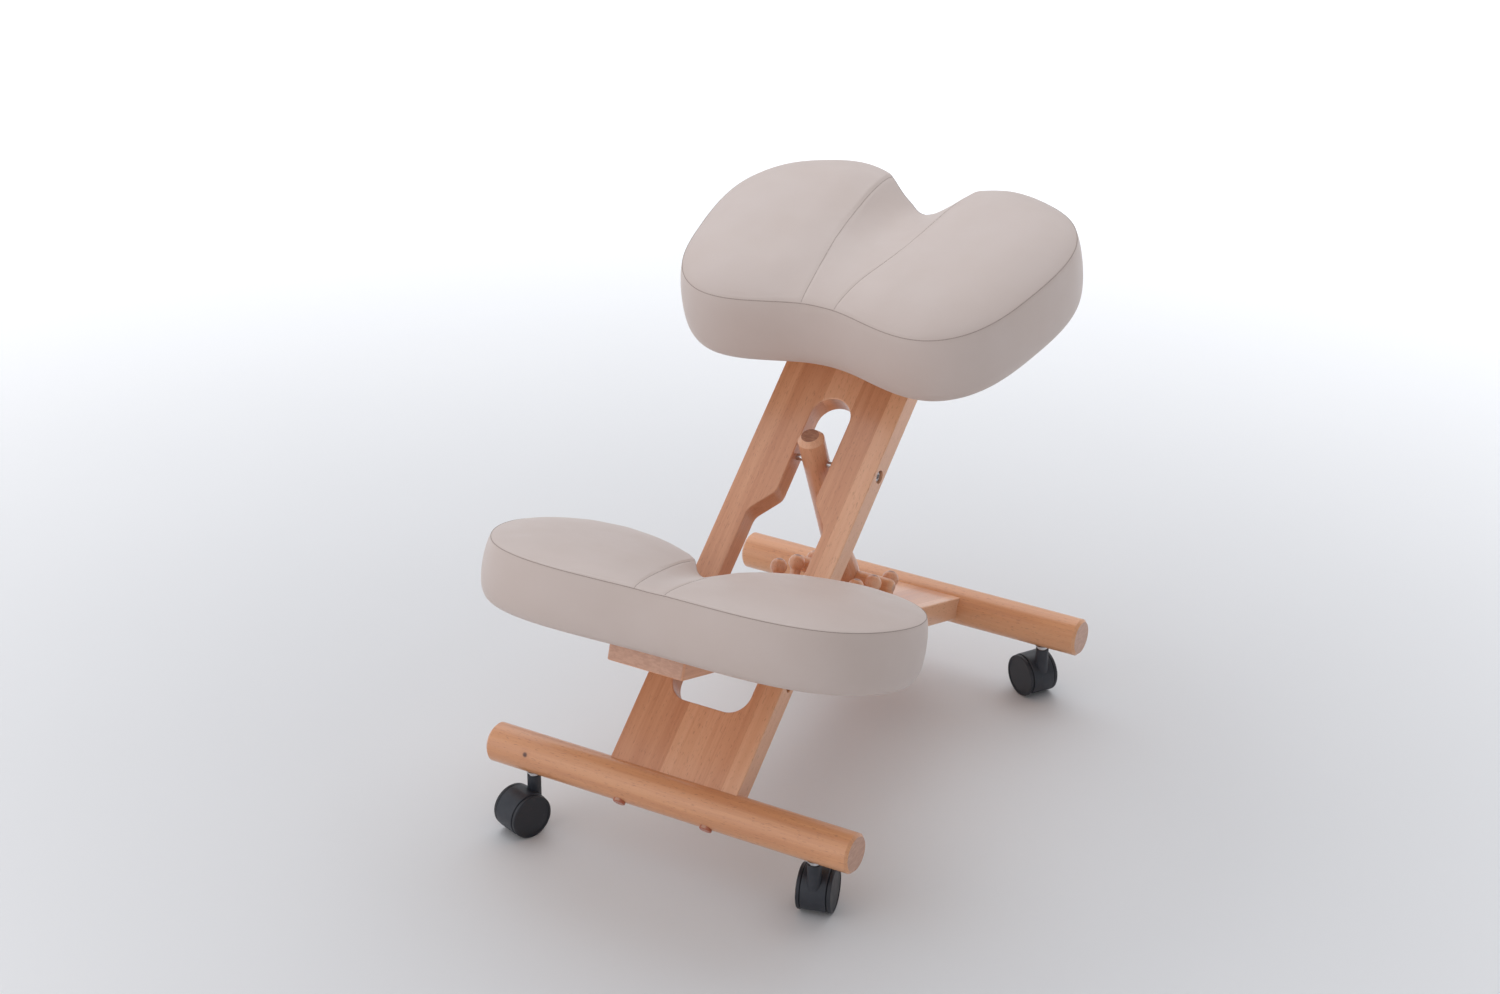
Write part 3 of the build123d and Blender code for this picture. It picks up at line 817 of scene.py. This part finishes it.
def inside_rim(pad, rim, x, y):
    """Whether a place in plan lies within the edge seam."""
    centre_x, centre_y = pad.centre
    away = rim[:, :2] - pad.centre
    angles = np.arctan2(away[:, 1], away[:, 0])
    angle = math.atan2(y - centre_y, x - centre_x)
    reach = np.interp(angle, angles, np.hypot(*away.T), period=2 * math.pi)
    return math.hypot(x - centre_x, y - centre_y) < reach - SEAM_STOP


def channel_threads(pad, made, rim, finish):
    """The two seam lines along the channel, lying in their creases."""
    tree = BVHTree.FromObject(made, bpy.context.evaluated_depsgraph_get())
    stations = pad.seams[0]
    for side, label in ((-1, "left"), (1, "right")):
        path = []
        for y in np.linspace(stations[0] - 0.02, stations[-1] + 0.02, THREAD_POINTS):
            x = side * float(smooth_curve(y, pad.seams))
            if inside_rim(pad, rim, x, y):
                hit = tree.ray_cast(Vector((x, y, 0.3)), -UP)[0]
                path.append((hit.x, hit.y, hit.z - THREAD_SUNK))
        settle(tube(f"{pad.name}_seam_{label}", path, CHANNEL_THREAD, False), pad, finish)


def cushion(pad, cover, seam_finish):
    """A stuffed cover with its sewn channel and edge seam, in the place of the plain CAD cushion."""
    edge = outline(pad)
    rings = pad_rings(pad, edge)
    rings = inflate(pad, rings)
    rim = rings[TOP_RINGS - 1]
    made = ring_mesh(pad.name, refine(rings))
    press_seams(pad, made, edge - outward(edge) * SEAM_INSET)
    bpy.context.view_layer.update()
    channel_threads(pad, made, rim, seam_finish)
    path = [tuple(point) for point in rim]
    settle(tube(f"{pad.name}_seam_edge", path, EDGE_THREAD, True), pad, seam_finish)
    settle(made, pad, cover)
    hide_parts(pad.cad)


# ---- floor, light and camera ----
FLOOR_RADIUS = 14
FLOOR_NEAR = 0.5
FLOOR_FAR = 3.0
FLOOR_GLOW = 0.60
ROOM_LOW = 0.12
ROOM_HIGH = 0.76
ROOM_COLOUR = (0.96, 0.965, 1.0, 1)
COOL = (0.92, 0.96, 1.0)
WARM = (1.0, 0.93, 0.89)


def view_axes():
    """Right, up and backward directions of the photograph's view."""
    azimuth = math.radians(VIEW_AZIMUTH)
    elevation = math.radians(VIEW_ELEVATION)
    back = Vector((
        math.sin(azimuth) * math.cos(elevation),
        -math.cos(azimuth) * math.cos(elevation),
        math.sin(elevation),
    ))
    right = Vector((math.cos(azimuth), math.sin(azimuth), 0))
    return right, back.cross(right), back


def add_camera():
    turn = Matrix(view_axes()).transposed()
    roll = Matrix.Rotation(math.radians(VIEW_ROLL), 4, "Z")
    camera = bpy.data.cameras.new("camera")
    camera.lens = VIEW_LENS
    camera.sensor_width = 36
    camera.sensor_fit = "HORIZONTAL"
    camera.clip_end = 60
    made = placed("camera", camera)
    made.matrix_world = Matrix.Translation(VIEW_PLACE) @ turn.to_4x4() @ roll
    bpy.context.scene.camera = made


def floor_material():
    """A pale floor that fades to white, with a little light of its own, away from the chair: the fade and
    the glow are painted light.
    """
    ground = Shader("studio_floor")
    cloud = ground.noise(ground.scaled(ground.place, (2.2, 2.2, 2.2)), 2.0)
    away = ground.vector("DISTANCE", ground.place, (0, 0, 0))
    # Painted light: the floor's colour lightens and it glows more with distance from the chair.
    painted_light_fade = ground.between(away, FLOOR_NEAR, FLOOR_FAR)
    near = ground.mix(cloud, linear(219, 219, 220), linear(223, 223, 224))
    glow = ground.math("MULTIPLY", ground.math("POWER", painted_light_fade, 1.3), FLOOR_GLOW)
    return ground.finish(
        Base_Color=ground.mix(painted_light_fade, near, linear(252, 253, 255)), Roughness=0.55,
        Emission_Color=(1, 1, 1, 1), Emission_Strength=glow,
    )


def add_floor():
    bpy.ops.mesh.primitive_circle_add(vertices=96, radius=FLOOR_RADIUS, fill_type="NGON")
    floor = bpy.context.object
    floor.name = "studio_floor"
    floor.data.materials.append(floor_material())


def add_world():
    """An even pale room, brightest above and to the left of the view, darkest low on its right."""
    world = bpy.data.worlds.new("studio")
    bpy.context.scene.world = world
    world.use_nodes = True
    tree = world.node_tree
    right, _, _ = view_axes()
    way = tree.nodes.new("ShaderNodeTexCoord").outputs["Generated"]
    facing = tree.nodes.new("ShaderNodeVectorMath")
    facing.operation = "DOT_PRODUCT"
    facing.inputs[1].default_value = (UP * 0.75 - right * 0.65).normalized()
    level = tree.nodes.new("ShaderNodeMapRange")
    level.inputs["From Min"].default_value = -1.0
    level.inputs["To Min"].default_value = ROOM_LOW
    level.inputs["To Max"].default_value = ROOM_HIGH
    background = tree.nodes["Background"]
    background.inputs["Color"].default_value = ROOM_COLOUR
    tree.links.new(way, facing.inputs[0])
    tree.links.new(facing.outputs["Value"], level.inputs["Value"])
    tree.links.new(level.outputs["Result"], background.inputs["Strength"])


def area_light(name, place, aim, size, power, colour):
    light = bpy.data.lights.new(name, "AREA")
    light.shape = "RECTANGLE"
    light.size, light.size_y = size
    light.energy = power
    light.color = colour
    made = placed(name, light)
    made.location = place
    made.rotation_euler = (Vector(aim) - Vector(place)).to_track_quat("-Z", "Y").to_euler()


def add_lights():
    """Four soft boxes: where each stands, what it faces, its size in metres and its power in watts."""
    right, _, back = view_axes()
    flat = Vector((back.x, back.y, 0)).normalized()
    target = Vector((0, 0, 0.3))
    area_light("overhead", target - flat * 0.5 + UP * 2.3, target, (2.6, 2.0), 17, COOL)
    area_light("rear_sheet", target - flat * 2.6 + UP * 1.9, target - flat * 1.4, (4.5, 2.0), 24, COOL)
    area_light("left_box", target - right * 2.0 + flat * 1.3 + UP * 0.6, target, (1.6, 1.6), 6, WARM)
    area_light("rear_right", target + right * 2.4 - flat * 1.6 + UP * 1.2, target, (1.4, 2.2), 7, COOL)


def build():
    bpy.context.scene.view_settings.view_transform = "Standard"
    finish_nodes()
    cover = leatherette("leatherette", linear(202, 187, 180), linear(199, 183, 175))
    seam_finish = thread("seam_thread", linear(178, 161, 153))
    cushion(seat_pad(), cover, seam_finish)
    cushion(knee_pad(), cover, seam_finish)
    add_floor()
    add_world()
    add_lights()
    add_camera()


build()
